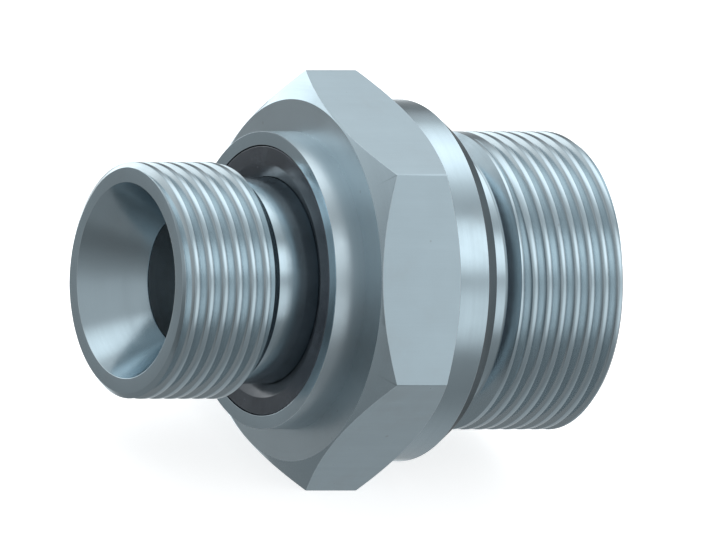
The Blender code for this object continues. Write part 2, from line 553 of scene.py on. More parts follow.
class ThreadTree:
    """The Geometry Nodes tree that makes a threaded tube, and the way to run it."""

    FLOATS = (
        "Crest Radius", "Pitch", "Depth", "Crest Flat", "Flank Angle", "Edge Break",
        "Groove Place", "Groove Angle", "Start", "End", "Begins", "Full From", "Full To",
        "Ends", "Axis Height",
    )

    def __init__(self) -> None:
        """Build the tree."""
        inputs = {"Geometry": ("NodeSocketGeometry", None)}
        inputs.update({name: ("NodeSocketFloat", 0.0) for name in self.FLOATS})
        inputs.update({
            "Grooves": ("NodeSocketInt", 8),
            "Stations": ("NodeSocketInt", 240),
            "Material": ("NodeSocketMaterial", None),
        })
        self.tree, sheet, given, result = new_group(
            "Helical thread", "GeometryNodeTree", inputs, {"Geometry": "NodeSocketGeometry"})
        self._fill(sheet, given, result)

    def _fill(self, sheet: NodeSheet, given: Outputs, result: Inputs) -> None:
        """Lay a grid of columns along the axis and stations round it onto the thread.

        Args:
            sheet: The sheet to add nodes to.
            given: The tree's inputs.
            result: The tree's outputs, as the inputs of its last node.
        """
        math_of = sheet.math
        length = math_of("MULTIPLY", given["Grooves"], float(COLUMNS_PER_GROOVE))
        grid = sheet.add("GeometryNodeMeshGrid", {
            "Size X": length,
            "Size Y": given["Stations"],
            "Vertices X": math_of("ADD", length, 1.0),
            "Vertices Y": math_of("ADD", given["Stations"], 1.0),
        })
        place = sheet.add(
            "ShaderNodeSeparateXYZ", {0: sheet.add("GeometryNodeInputPosition").outputs[0]})
        column = math_of("ROUND", math_of("ADD", place.outputs[0], math_of("MULTIPLY", length, 0.5)))
        station = math_of("ADD", place.outputs[1], math_of("MULTIPLY", given["Stations"], 0.5))
        turn = math_of("FLOOR", math_of("DIVIDE", math_of("ADD", column, INDEX_NUDGE),
                                        float(COLUMNS_PER_GROOVE)))
        role = math_of("SUBTRACT", math_of("SUBTRACT", column, COLUMNS_PER_GROOVE / 2),
                       math_of("MULTIPLY", turn, float(COLUMNS_PER_GROOVE)))
        side = math_of("SIGN", role)
        step = math_of("ADD", math_of("ABSOLUTE", role), INDEX_NUDGE)
        angle = math_of("MULTIPLY", math_of("DIVIDE", station, given["Stations"]), 2 * math.pi)
        lead = math_of("ADD", turn, math_of(
            "DIVIDE", math_of("SUBTRACT", angle, given["Groove Angle"]), 2 * math.pi))
        centre = math_of("MULTIPLY_ADD", lead, given["Pitch"], given["Groove Place"])
        opened = math_of(
            "MULTIPLY",
            sheet.ramp(centre, given["Begins"], given["Full From"]),
            sheet.ramp(centre, given["Full To"], given["Ends"], 1.0, 0.0),
        )
        offset, fall = self._groove(sheet, given, opened, step)
        along = math_of("MULTIPLY_ADD", side, offset, centre)
        x = math_of("MINIMUM", math_of("MAXIMUM", along, given["Start"]), given["End"])
        radius = math_of("SUBTRACT", given["Crest Radius"], fall)
        where = sheet.add("ShaderNodeCombineXYZ", {
            0: x,
            1: math_of("MULTIPLY", radius, math_of("COSINE", angle)),
            2: math_of("MULTIPLY_ADD", radius, math_of("SINE", angle), given["Axis Height"]),
        })
        moved = sheet.add("GeometryNodeSetPosition", {
            "Geometry": grid.outputs["Mesh"], "Position": where.outputs[0]})
        merged = sheet.add("GeometryNodeMergeByDistance", {
            "Geometry": moved.outputs[0], "Distance": MERGE_DISTANCE})
        real = sheet.add("GeometryNodeRealizeInstances", {"Geometry": merged.outputs[0]})
        dressed = sheet.add("GeometryNodeSetMaterial", {
            "Geometry": real.outputs[0], "Material": given["Material"]})
        sheet.plug(result["Geometry"], dressed.outputs[0])

    def _groove(self, sheet: NodeSheet, given: Outputs, opened: Socket,
                step: Socket) -> tuple[Socket, Socket]:
        """Return how far a column stands from its groove's middle and how deep it lies.

        Args:
            sheet: The sheet to add nodes to.
            given: The tree's inputs.
            opened: Share of the full depth that the groove has here.
            step: Number of the column, from 0 at the root to 6 at the middle of the crest.

        Returns:
            The distance along the axis and the fall below the crest.
        """
        math_of = sheet.math
        slope = math_of("TANGENT", given["Flank Angle"])
        sine = math_of("SINE", given["Flank Angle"])
        cosine = math_of("COSINE", given["Flank Angle"])
        spare = math_of("MULTIPLY", math_of("SUBTRACT", given["Pitch"], given["Crest Flat"]), 0.5)
        root = math_of("SUBTRACT", spare, math_of("MULTIPLY", given["Depth"], slope))
        depth = math_of("MULTIPLY", given["Depth"], opened)
        half = math_of("MULTIPLY_ADD", depth, slope, root)
        edge = math_of("MINIMUM", given["Edge Break"], math_of("MULTIPLY", depth, 0.5))
        quarter = math_of("MULTIPLY", edge, 0.25)
        offset = sheet.choose(step, [
            0.0,
            root,
            math_of("MULTIPLY", math_of("ADD", root, half), 0.5),
            math_of("SUBTRACT", half, math_of("MULTIPLY", edge, sine)),
            math_of("MULTIPLY_ADD", quarter, math_of("SUBTRACT", 1.0, sine), half),
            math_of("ADD", half, edge),
            math_of("MULTIPLY", given["Pitch"], 0.5),
        ])
        fall = sheet.choose(step, [
            depth,
            depth,
            math_of("MULTIPLY", depth, 0.5),
            math_of("MULTIPLY", edge, cosine),
            math_of("MULTIPLY", quarter, cosine),
            0.0,
            0.0,
        ])
        return offset, fall

    def run(self, name: str, values: dict[str, object]) -> bpy.types.Mesh:
        """Run the tree once and return the plain mesh it makes.

        Args:
            name: A name for the mesh.
            values: Input values by socket name.

        Returns:
            The threaded tube, open at both ends.
        """
        carrier = put_in_scene(name, bpy.data.meshes.new(name))
        modifier = carrier.modifiers.new("thread", "NODES")
        modifier.node_group = self.tree
        for item in self.tree.interface.items_tree:
            if item.in_out == "INPUT" and item.name in values:
                modifier[item.identifier] = values[item.name]
        mesh = evaluated_mesh(carrier)
        bpy.data.objects.remove(carrier)
        return mesh


@dataclass
class Stud:
    """A threaded end of the adapter, with its relief groove, cone seat and end chamfer.

    The first crest is how far from the end face a crest stands at the thread's crest angle. A
    thread that fades in starts its groove within the fade turn, a share of one turn.
    """

    end: End
    face_x: float
    thread_diameter: float
    thread_length: float
    relief_diameter: float
    mouth_diameter: float
    bore_diameter: float
    first_crest: float
    fades_in: bool
    end_chamfer: float = 0.62 * MM
    seat_angle: float = math.radians(30)
    ramp_angle: float = math.radians(35)
    edge_break: float = 0.08 * MM
    blank_allowance: float = 0.25 * MM
    fade_turn: float = 0.20
    relief_rounding: float = 0.3 * MM
    seat_rounding: float = 0.3 * MM

    @property
    def inward(self) -> int:
        """The direction from the end face to the hexagon."""
        return -self.end.value

    @property
    def crest_radius(self) -> float:
        """The radius over the thread's crests."""
        return self.thread_diameter / 2

    @property
    def relief_radius(self) -> float:
        """The radius of the relief groove."""
        return self.relief_diameter / 2

    @property
    def thread_stop_x(self) -> float:
        """The place where the thread meets the ramp of the relief groove."""
        return self.face_x + self.inward * self.thread_length

    @property
    def relief_x(self) -> float:
        """The place where the ramp meets the bottom of the relief groove."""
        drop = (self.crest_radius - self.relief_radius) * math.tan(self.ramp_angle)
        return self.thread_stop_x + self.inward * drop

    def outside(self) -> list[Corner]:
        """Outline the stud's outside.

        The blank stands proud of the crests by an allowance, so that the thread's envelope
        cuts it there.

        Returns:
            Its corners, from the end face to the relief groove.
        """
        proud = self.blank_allowance
        ramp = proud * math.tan(self.ramp_angle)
        return [
            Corner(self.face_x, self.crest_radius - self.end_chamfer, self.edge_break / 2),
            Corner(self.face_x + self.inward * (self.end_chamfer + proud),
                   self.crest_radius + proud),
            Corner(self.thread_stop_x - self.inward * ramp, self.crest_radius + proud),
            Corner(self.relief_x, self.relief_radius, self.relief_rounding, steps=8),
        ]

    def inside(self) -> list[Corner]:
        """Outline the cone seat.

        Returns:
            Its corners, from the bore to the mouth in the end face.
        """
        mouth = self.mouth_diameter / 2
        bore = self.bore_diameter / 2
        seat = (mouth - bore) / math.tan(self.seat_angle)
        beyond = Surface.BORED if self.end is End.LARGE else Surface.TURNED
        return [
            Corner(self.face_x + self.inward * seat, bore, self.seat_rounding, 4, beyond),
            Corner(self.face_x, mouth, self.edge_break, steps=3),
        ]

    def thread(self, tree: ThreadTree, form: ThreadForm, height: float,
               material: bpy.types.Material) -> bpy.types.Mesh:
        """Make the envelope of the thread, from beyond the end face to the relief groove.

        Args:
            tree: The tree that makes it.
            form: The form of the thread.
            height: Height of the axis.
            material: The finish of the thread.

        Returns:
            A tube that ends in a plain circle of the crest's radius on both sides.
        """
        crest_x = self.face_x + self.inward * self.first_crest
        outer = self.face_x - self.inward * form.outer_overrun * form.pitch
        inner = self.relief_x + self.inward * form.inner_overrun * form.pitch
        start, finish = sorted((outer, inner))
        before = math.ceil((crest_x - start) / form.pitch) + form.spare_grooves
        grooves = math.ceil((finish - start) / form.pitch) + 2 * form.spare_grooves + 1
        bare = form.bare_share * form.pitch
        begins, full_from = start + bare, start + form.pitch
        full_to, ends = finish - form.pitch, finish - bare
        if self.fades_in:
            full_from = self._first_full_groove(crest_x, form)
            begins = full_from - self.fade_turn * form.pitch
        return tree.run(f"{self.end.name.lower()}_thread", {
            "Crest Radius": self.crest_radius,
            "Pitch": form.pitch,
            "Depth": form.depth,
            "Crest Flat": form.crest_flat,
            "Flank Angle": form.flank_angle,
            "Edge Break": form.edge_break,
            "Groove Place": crest_x + form.pitch * (0.5 - before),
            "Groove Angle": form.crest_angle,
            "Grooves": grooves,
            "Stations": form.stations,
            "Start": start,
            "End": finish,
            "Begins": begins,
            "Full From": full_from,
            "Full To": full_to,
            "Ends": ends,
            "Axis Height": height,
            "Material": material,
        })

    def _first_full_groove(self, crest_x: float, form: ThreadForm) -> float:
        """Find the first whole groove past the relief's ramp, at the thread's crest angle.

        Args:
            crest_x: Place of a crest there.
            form: The form of the thread.

        Returns:
            The place of the groove's middle.
        """
        edge = self.thread_stop_x + form.pitch / 4
        turns = math.ceil((edge - crest_x) / form.pitch - 0.5)
        return crest_x + (turns + 0.5) * form.pitch


@dataclass
class Collar:
    """The round collar behind a relief groove, with the recess that holds the seal ring."""

    end: End
    face_x: float
    length: float
    diameter: float
    recess_diameter: float
    recess_depth: float
    edge_break: float = 0.08 * MM
    recess_rounding: float = 0.1 * MM

    @property
    def inner_x(self) -> float:
        """The place where the collar meets the hexagon."""
        return self.face_x - self.end.value * self.length

    def recess(self, relief_radius: float) -> list[Corner]:
        """Outline the recess.

        Args:
            relief_radius: Radius of the relief groove.

        Returns:
            Its corners, from its floor at the relief groove to the collar's face.
        """
        floor_x = self.face_x - self.end.value * self.recess_depth
        radius = self.recess_diameter / 2
        return [
            Corner(floor_x, relief_radius, self.recess_rounding),
            Corner(floor_x, radius, self.recess_rounding),
            Corner(self.face_x, radius, self.edge_break),
        ]


@dataclass
class Hexagon:
    """The spanner hexagon, with rounded corners and a turned chamfer at both ends."""

    start_x: float
    end_x: float
    across_flats: float
    face_diameter: float
    chamfer_angle: float = math.radians(30)
    corner_rounding: float = 0.16 * MM
    edge_break: float = 0.09 * MM
    facets_per_flat: int = 40

    def radius_at(self, angle: float) -> float:
        """Measure the hexagon at an angle.

        Args:
            angle: The angle round the axis.

        Returns:
            Its radius there.
        """
        inner = self.across_flats / 2
        from_corner = (angle + math.pi / 6) % (math.pi / 3) - math.pi / 6
        centre = (inner - self.corner_rounding) / math.cos(math.pi / 6)
        if abs(from_corner) < self._corner_half_angle():
            reach = self.corner_rounding ** 2 - (centre * math.sin(from_corner)) ** 2
            return centre * math.cos(from_corner) + math.sqrt(max(reach, 0.0))
        return inner / math.cos(math.pi / 6 - abs(from_corner))

    def _corner_half_angle(self) -> float:
        """Measure a rounded corner.

        Returns:
            Half the angle that it takes at the axis.
        """
        centre = (self.across_flats / 2 - self.corner_rounding) / math.cos(math.pi / 6)
        return math.atan2(
            self.corner_rounding * math.sin(math.pi / 6),
            centre + self.corner_rounding * math.cos(math.pi / 6),
        )

    def angles(self) -> list[float]:
        """Choose the angles at which the body's section is set.

        Returns:
            Even angles round the axis and more of them at the rounded corners.
        """
        half = self._corner_half_angle()
        found = even_angles(6 * self.facets_per_flat)
        for side in range(6):
            for share in (-1.0, -0.5, 0.5, 1.0):
                found.append((side * math.pi / 3 + share * half) % (2 * math.pi))
        return sorted(found)

    def outline_at(self, angle: float) -> list[Corner]:
        """Outline the hexagon at an angle.

        Args:
            angle: The angle round the axis.

        Returns:
            Its corners, over both chamfers and the flat.
        """
        face = self.face_diameter / 2
        radius = self.radius_at(angle)
        chamfer = (radius - face) * math.tan(self.chamfer_angle)
        return [
            Corner(self.start_x, face, self.edge_break),
            Corner(self.start_x + chamfer, radius, self.edge_break, surface=Surface.DRAWN),
            Corner(self.end_x - chamfer, radius, self.edge_break),
            Corner(self.end_x, face),
        ]


@dataclass
class AdapterBody:
    """The steel body: two studs, two collars, the hexagon and the bore, as one mesh.

    The height is that of its axis over the floor. The chamfer is that of the large collar, and
    its slope is how far it falls for each unit of its length. The envelope stands clear of the
    hexagon, and its radius has no other meaning.
    """

    height: float
    small: Stud
    large: Stud
    small_collar: Collar
    large_collar: Collar
    hexagon: Hexagon
    form: ThreadForm = ThreadForm()
    chamfer_length: float = 1.78 * MM
    chamfer_slope: float = 0.76
    large_bore_depth: float = 22.0 * MM
    drill_angle: float = math.radians(59)
    drill_rounding: float = 0.2 * MM
    bore_edge_break: float = 0.1 * MM
    envelope_radius: float = 30.0 * MM

    NODE = "adapter_body"

    def section_at(self, angle: float) -> list[SectionPoint]:
        """Outline the blank at an angle.

        Args:
            angle: The angle round the axis.

        Returns:
            Its closed section.
        """
        small = self.small_collar.diameter / 2
        large = self.large_collar.diameter / 2
        face_x = self.large_collar.face_x
        fall = self.chamfer_slope * self.chamfer_length
        edge = self.small_collar.edge_break
        corners = [
            *self.small.outside(),
            *self.small_collar.recess(self.small.relief_radius),
            Corner(self.small_collar.face_x, small, edge, surface=Surface.FACED),
            Corner(self.hexagon.start_x, small, surface=Surface.FACED),
            *self.hexagon.outline_at(angle),
            # The large collar's chamfer gets painted shade, a darker copy of the plating.
            Corner(face_x - self.chamfer_length, large, edge, surface=Surface.PAINTED_SHADE),
            Corner(face_x, large - fall, edge),
            *reversed(self.large_collar.recess(self.large.relief_radius)),
            *reversed(self.large.outside()),
            *reversed(self.large.inside()),
            *self._bore_step(),
            *self.small.inside(),
        ]
        return closed_section(corners)

    def _bore_step(self) -> list[Corner]:
        """Outline the drill point between the large bore and the small one.

        Returns:
            Its two corners, from the large bore inwards.
        """
        wide = self.large.bore_diameter / 2
        narrow = self.small.bore_diameter / 2
        step_x = self.large.face_x - self.large_bore_depth
        cone = (wide - narrow) / math.tan(self.drill_angle)
        return [
            Corner(step_x, wide, self.drill_rounding, surface=Surface.BORED),
            Corner(step_x - cone, narrow, self.bore_edge_break, surface=Surface.BORED),
        ]

    def _envelope(self, tree: ThreadTree, threaded: bpy.types.Material) -> bpy.types.Mesh:
        """Make the closed shape that the threads leave of the blank.

        It is the two threaded tubes, a cap on the outer end of each, and a wide drum over the
        middle of the body, which cuts nothing.

        Args:
            tree: The tree that makes the threads.
            threaded: The finish of the threads.

        Returns:
            The shape, as a mesh.
        """
        solid = bmesh.new()
        ends = []
        for stud in (self.small, self.large):
            tube = stud.thread(tree, self.form, self.height, threaded)
            places = [vertex.co.x for vertex in tube.vertices]
            ends.append((min(places), max(places), stud.crest_radius))
            solid.from_mesh(tube)
            bpy.data.meshes.remove(tube)
        for face in solid.faces:
            face.material_index = Surface.THREADED.value
        (cap_a, drum_a, radius_a), (drum_b, cap_b, radius_b) = ends
        wide = self.envelope_radius
        outlines = (
            [(cap_a, 0.0), (cap_a, radius_a)],
            [(drum_a, radius_a), (drum_a, wide), (drum_b, wide), (drum_b, radius_b)],
            [(cap_b, radius_b), (cap_b, 0.0)],
        )
        for outline in outlines:
            self._spin_open_outline(solid, outline)
        return finish_solid(solid, "thread_envelope")

    def _spin_open_outline(self, solid: bmesh.types.BMesh, outline: list[Point]) -> None:
        """Add an open outline, turned round the axis, to a solid.

        Args:
            solid: The solid to add to.
            outline: Its points, as places along the axis and radii.
        """
        rows = []
        for angle in even_angles(self.form.stations):
            rows.append([
                solid.verts.new((x, r * math.cos(angle), self.height + r * math.sin(angle)))
                for x, r in outline
            ])
        for row, following in zip(rows, rows[1:] + rows[:1]):
            for index in range(len(row) - 1):
                solid.faces.new(
                    (row[index], following[index], following[index + 1], row[index + 1]))

    def build(self, tree: ThreadTree, materials: dict[Surface, bpy.types.Material]
              ) -> bpy.types.Object:
        """Turn the blank, cut the threads and dress the result.

        Args:
            tree: The tree that makes the threads.
            materials: The finish of each kind of surface.

        Returns:
            The finished body, which rides on the adapter's only body.
        """
        blank_solid = turn_section(self.section_at, self.hexagon.angles(), self.height)
        blank = put_in_scene("blank", finish_solid(blank_solid, "blank"))
        envelope = put_in_scene(
            "thread_envelope", self._envelope(tree, materials[Surface.THREADED]))
        for thing in (blank, envelope):
            for surface in Surface:
                thing.data.materials.append(materials[surface])
        cut = blank.modifiers.new("threads", "BOOLEAN")
        cut.operation = "INTERSECT"
        cut.solver = "EXACT"
        cut.object = envelope
        mesh = evaluated_mesh(blank)
        bpy.data.objects.remove(blank)
        bpy.data.objects.remove(envelope)
        mesh.name = "steel_body"
        smooth_round_surfaces(mesh, STEEL_SHARP_ANGLE)
        mark_edges(mesh)
        body = put_in_scene("steel_body", mesh)
        weigh_normals(body)
        straighten_shading(body.data, self.height)
        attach(body, ROOT_BODY)
        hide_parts(self.NODE)
        return body


@dataclass
class SealRing:
    """A captive rubber ring with a flat front and a lip that slopes in to its bore."""

    node: str
    end: End
    collar_x: float
    outer_radius: float
    front_radius: float
    bore_radius: float
    thickness: float
    lip_depth: float = 0.7 * MM
    set_back: float = 0.04 * MM
    rounding: float = 0.12 * MM
    stations: int = 240

    def section_at(self, _angle: float) -> list[SectionPoint]:
        """Outline the ring, which is the same at every angle.

        Args:
            _angle: The angle round the axis.

        Returns:
            Its closed section.
        """
        into = -self.end.value
        front_x = self.collar_x + into * self.set_back
        back_x = self.collar_x + into * self.thickness
        lip_x = self.collar_x + into * self.lip_depth
        rounding = self.rounding
        return closed_section([
            Corner(front_x, self.front_radius, rounding * 2, steps=4),
            Corner(front_x, self.outer_radius, rounding, steps=4),
            Corner(back_x, self.outer_radius, rounding, steps=3),
            Corner(back_x, self.bore_radius, rounding, steps=3),
            Corner(lip_x, self.bore_radius, rounding, steps=4),
        ])

    def build(self, height: float, material: bpy.types.Material) -> bpy.types.Object:
        """Make the ring and dress it.

        Args:
            height: Height of the axis over the floor.
            material: The finish of the rubber.

        Returns:
            The finished ring, which rides on the adapter's only body.
        """
        solid = turn_section(self.section_at, even_angles(self.stations), height)
        mesh = finish_solid(solid, f"{self.end.name.lower()}_seal_ring")
        mesh.materials.append(material)
        smooth_round_surfaces(mesh, RUBBER_SHARP_ANGLE)
        mark_edges(mesh)
        ring = put_in_scene(mesh.name, mesh)
        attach(ring, ROOT_BODY)
        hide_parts(self.node)
        return ring


class SharedEffects:
    """The shader node groups that more than one finish uses, each built once."""

    def __init__(self) -> None:
        """Build the groups."""
        self.axis_frame = self._axis_frame()
        self.tool_marks = self._tool_marks()
        self.cloud = self._cloud()
        self.broken_edge = self._broken_edge()
        self.specks = self._specks()

    def _axis_frame(self) -> bpy.types.NodeTree:
        """Give the place along and across the axis, and both as one vector.

        Returns:
            The group.
        """
        tree, sheet, given, result = new_group(
            "Axis frame", "ShaderNodeTree", {"Place": ("NodeSocketVector", None)},
            {"Along": "NodeSocketFloat", "Radius": "NodeSocketFloat",
             "Ring": "NodeSocketVector"})
        axes = sheet.add("ShaderNodeSeparateXYZ", {0: given["Place"]}).outputs
        across = sheet.add("ShaderNodeCombineXYZ", {0: axes["Y"], 1: axes["Z"]}).outputs[0]
        radius = sheet.vector("LENGTH", across)
        ring = sheet.add("ShaderNodeCombineXYZ", {0: axes["X"], 1: radius}).outputs[0]
        sheet.plug(result["Along"], axes["X"])
        sheet.plug(result["Radius"], radius)
        sheet.plug(result["Ring"], ring)
        return tree

    def _tool_marks(self) -> bpy.types.NodeTree:
        """Make the fine lines and broader bands that a tool leaves, stretched by the pattern.

        Returns:
            The group.
        """
        tree, sheet, given, result = new_group(
            "Tool marks", "ShaderNodeTree", {"Pattern": ("NodeSocketVector", None)},
            {"Height": "NodeSocketFloat", "Shade": "NodeSocketFloat"})
        fine = sheet.noise(given["Pattern"], 1.0, detail=3.0, roughness=0.65)
        broad = sheet.noise(given["Pattern"], 0.16, detail=2.0, roughness=0.5)
        shade = sheet.math("MULTIPLY_ADD", fine, 0.45, sheet.math("MULTIPLY", broad, 0.55))
        sheet.plug(result["Height"], fine)
        sheet.plug(result["Shade"], sheet.ramp(shade, 0.36, 0.64))
        return tree

    def _cloud(self) -> bpy.types.NodeTree:
        """Mix a colour with two others in soft clouds of a given size.

        Returns:
            The group.
        """
        tree, sheet, given, result = new_group(
            "Cloud", "ShaderNodeTree",
            {"Place": ("NodeSocketVector", None), "Size": ("NodeSocketFloat", 8.0),
             "Plain": ("NodeSocketColor", None), "Thin": ("NodeSocketColor", None),
             "Thick": ("NodeSocketColor", None)},
            {"Colour": "NodeSocketColor", "Mask": "NodeSocketFloat"})
        scale = sheet.math("DIVIDE", 1.0, given["Size"])
        wide = sheet.noise(given["Place"], scale, detail=4.0, roughness=0.55)
        finer = sheet.math("MULTIPLY", scale, 4.3)
        small = sheet.noise(given["Place"], finer, detail=3.0, roughness=0.6)
        thick = sheet.ramp(wide, 0.45, 0.72, smooth=True)
        thin = sheet.ramp(wide, 0.52, 0.30, smooth=True)
        thin = sheet.math("MULTIPLY", thin, sheet.ramp(small, 0.35, 0.6))
        colour = sheet.mix(thick, given["Plain"], given["Thick"])
        sheet.plug(result["Colour"], sheet.mix(thin, colour, given["Thin"]))
        sheet.plug(result["Mask"], sheet.ramp(sheet.math("ADD", wide, small), 0.75, 1.25))
        return tree

    def _broken_edge(self) -> bpy.types.NodeTree:
        """Break an edge mask up into worn stretches.

        Returns:
            The group.
        """
        tree, sheet, given, result = new_group(
            "Broken edge", "ShaderNodeTree",
            {"Place": ("NodeSocketVector", None), "Edge": ("NodeSocketFloat", 0.0),
             "Grain": ("NodeSocketFloat", 1.0)},
            {"Mask": "NodeSocketFloat"})
        scale = sheet.math("DIVIDE", 1.0, given["Grain"])
        grain = sheet.noise(given["Place"], scale, detail=3.0, roughness=0.6)
        worn = sheet.ramp(grain, 0.38, 0.60, 0.25, 1.0)
        sheet.plug(result["Mask"], sheet.math("MULTIPLY", worn, given["Edge"]))
        return tree

    def _specks(self) -> bpy.types.NodeTree:
        """Scatter small specks, one in each cell that chance picks.

        Returns:
            The group.
        """
        tree, sheet, given, result = new_group(
            "Specks", "ShaderNodeTree",
            {"Place": ("NodeSocketVector", None), "Spacing": ("NodeSocketFloat", 1.0),
             "Share": ("NodeSocketFloat", 0.1)},
            {"Mask": "NodeSocketFloat"})
        cells = sheet.add("ShaderNodeTexVoronoi", {
            "Vector": given["Place"], "Scale": sheet.math("DIVIDE", 1.0, given["Spacing"]),
            "Randomness": 1.0})
        chance = sheet.add("ShaderNodeSeparateColor", {0: cells.outputs["Color"]}).outputs
        picked = sheet.math("LESS_THAN", chance[0], given["Share"])
        size = sheet.ramp(chance[1], 0.0, 1.0, 0.06, 0.20)
        spot = sheet.ramp(cells.outputs["Distance"], sheet.math("MULTIPLY", size, 0.4), size,
                          1.0, 0.0)
        sheet.plug(result["Mask"], sheet.math("MULTIPLY", picked, spot))
        return tree


def new_surface(name: str, height: float) -> tuple[bpy.types.Material, NodeSheet, Socket]:
    """Start a Principled material that knows its place in millimetres from the axis.

    Args:
        name: The material's name.
        height: Height of the axis over the floor, in metres.

    Returns:
        The material, a sheet for its nodes and the place, centred on the axis.
    """
    material = bpy.data.materials.new(name)
    material.use_nodes = True
    sheet = NodeSheet(material.node_tree)
    place = sheet.add("ShaderNodeMapping", {
        "Vector": sheet.add("ShaderNodeTexCoord").outputs["Object"],
        "Location": (0.0, 0.0, -height / MM),
        "Scale": (1 / MM, 1 / MM, 1 / MM),
    })
    return material, sheet, place.outputs[0]


@dataclass(frozen=True)
class ZincFinish:
    """Bright zinc plating on steel, with the marks of the way in which the steel was cut.

    Lengths are in millimetres, and those of a mark are along the axis, and across it or outwards
    from it. A tone is a factor on the plating's colour and how far it is drawn towards grey.
    """

    name: str
    marks_follow_rings: bool
    mark_length: float
    mark_width: float
    mark_shade: float
    mark_relief: float
    roughness: float
    colour: Colour = (0.490, 0.600, 0.660)
    cloud_size: float = 9.0
    smudge: float = 0.06
    worn_polish: float = 0.08
    # Wear on the thread's crests, lighter than the plating: real wear and a painted highlight.
    crest_wear_and_highlight: float = 0.0
    crest_radii: Point = (13.22, 16.62)
    crest_band: Point = (0.02, 0.10)
    crest_grain: float = 2.2
    # Painted light: a lighter colour on the flanks and roots, against the shade in the grooves.
    painted_flank_light: Colour = (0.575, 0.665, 0.710)
    edge_tint: float = 1.0
    edge_wear: float = 1.0
    wear_grain: float = 1.4
    thin_tone: Tone = (0.95, 0.1)
    thick_tone: Tone = (1.04, 0.0)
    mark_tone: Tone = (0.80, 0.0)
    speck_tone: Tone = (0.60, 0.3)
    worn_tone: Tone = (1.20, 0.2)
    speck_spacing: float = 1.6
    speck_share: float = 0.07
    speck_shade: float = 0.45
    mark_roughness: float = 0.05
    skin_scale: float = 14.0
    skin_relief: float = 0.25

    def tone(self, factor: float, towards_grey: float = 0.0) -> tuple[float, ...]:
        """Return the colour made lighter or darker by a factor and drawn towards grey."""
        grey = sum(self.colour) / 3
        return (*((part + (grey - part) * towards_grey) * factor for part in self.colour), 1.0)

    def build(self, effects: SharedEffects, height: float) -> bpy.types.Material:
        """Make the material.

        Args:
            effects: The shared groups.
            height: Height of the axis over the floor.

        Returns:
            The finished material.
        """
        material, sheet, place = new_surface(self.name, height)
        shader = material.node_tree.nodes["Principled BSDF"]
        frame_of = sheet.group(effects.axis_frame, {"Place": place})
        pattern = frame_of["Ring"] if self.marks_follow_rings else place
        width = 1 / self.mark_width
        stretched = sheet.vector("MULTIPLY", pattern, (1 / self.mark_length, width, width))
        marks = sheet.group(effects.tool_marks, {"Pattern": stretched})
        cloud = sheet.group(effects.cloud, {
            "Place": place, "Size": self.cloud_size, "Plain": self.tone(1.0),
            "Thin": self.tone(*self.thin_tone), "Thick": self.tone(*self.thick_tone)})
        specks = sheet.group(effects.specks, {
            "Place": place, "Spacing": self.speck_spacing, "Share": self.speck_share})
        edge = sheet.add("ShaderNodeAttribute", attribute_name=EDGE_ATTRIBUTE).outputs["Fac"]
        rubbed = sheet.group(effects.broken_edge, {
            "Place": place, "Edge": sheet.math("MULTIPLY", edge, self.edge_wear),
            "Grain": self.wear_grain})
        base, worn = self._crests(sheet, effects, place, frame_of, cloud["Colour"],
                                  rubbed["Mask"])
        colour = sheet.mix(sheet.math("MULTIPLY", marks["Shade"], self.mark_shade),
                           base, self.tone(*self.mark_tone))
        colour = sheet.mix(sheet.math("MULTIPLY", specks["Mask"], self.speck_shade),
                           colour, self.tone(*self.speck_tone))
        # Worn edges and crests are lighter: wear, and on the crests a painted highlight too.
        colour = sheet.mix(worn, colour, self.tone(*self.worn_tone))
        sheet.plug(shader.inputs["Base Color"], colour)
        rough = sheet.math("MULTIPLY_ADD", cloud["Mask"], self.smudge,
                           self.roughness - self.smudge / 2)
        rough = sheet.math("MULTIPLY_ADD", marks["Shade"], self.mark_roughness, rough)
        rough = sheet.math("SUBTRACT", rough, sheet.math("MULTIPLY", worn, self.worn_polish))
        sheet.plug(shader.inputs["Roughness"], rough)
        shader.inputs["Metallic"].default_value = 1.0
        shader.inputs["Specular Tint"].default_value = (*[self.edge_tint] * 3, 1.0)
        skin = sheet.noise(place, self.skin_scale, detail=2.0, roughness=0.5)
        relief = sheet.math("MULTIPLY_ADD", skin, self.skin_relief, marks["Height"])
        relief = sheet.math("SUBTRACT", relief, specks["Mask"])
        bump = sheet.add("ShaderNodeBump", {
            "Height": relief, "Strength": self.mark_relief, "Distance": BUMP_DEPTH})
        sheet.plug(shader.inputs["Normal"], bump.outputs[0])
        return material

    def _crests(self, sheet: NodeSheet, effects: SharedEffects, place: Socket,
                frame_of: Outputs, plain: Socket, rubbed: Socket) -> tuple[Socket, Socket]:
        """Paint the flanks and roots of a thread lighter, as painted light against the shade in its
        grooves, and wear its crests, which stand proud of them, also as a painted highlight.

        Args:
            sheet: The material's nodes.
            effects: The shared groups.
            place: The place in millimetres from the axis.
            frame_of: Outputs of the axis frame group.
            plain: The plating's colour.
            rubbed: The wear of the edges.

        Returns:
            The colour and the wear, unchanged where there is no thread.
        """
        if self.crest_wear_and_highlight <= 0.0:
            return plain, rubbed
        small, large = self.crest_radii
        crest = sheet.ramp(frame_of["Along"], -1.0, 1.0, small, large)
        below = sheet.math("SUBTRACT", crest, frame_of["Radius"])
        on_crest, off_crest = self.crest_band
        band = sheet.ramp(below, off_crest, on_crest)
        broken = sheet.group(effects.broken_edge, {
            "Place": place, "Edge": sheet.math("MULTIPLY", band, self.crest_wear_and_highlight),
            "Grain": self.crest_grain})
        # Painted light: the flanks and roots lighter than the crests, against the shade in the
        # grooves.
        colour = sheet.mix(band, (*self.painted_flank_light, 1.0), plain)
        return colour, sheet.math("MAXIMUM", rubbed, broken["Mask"])


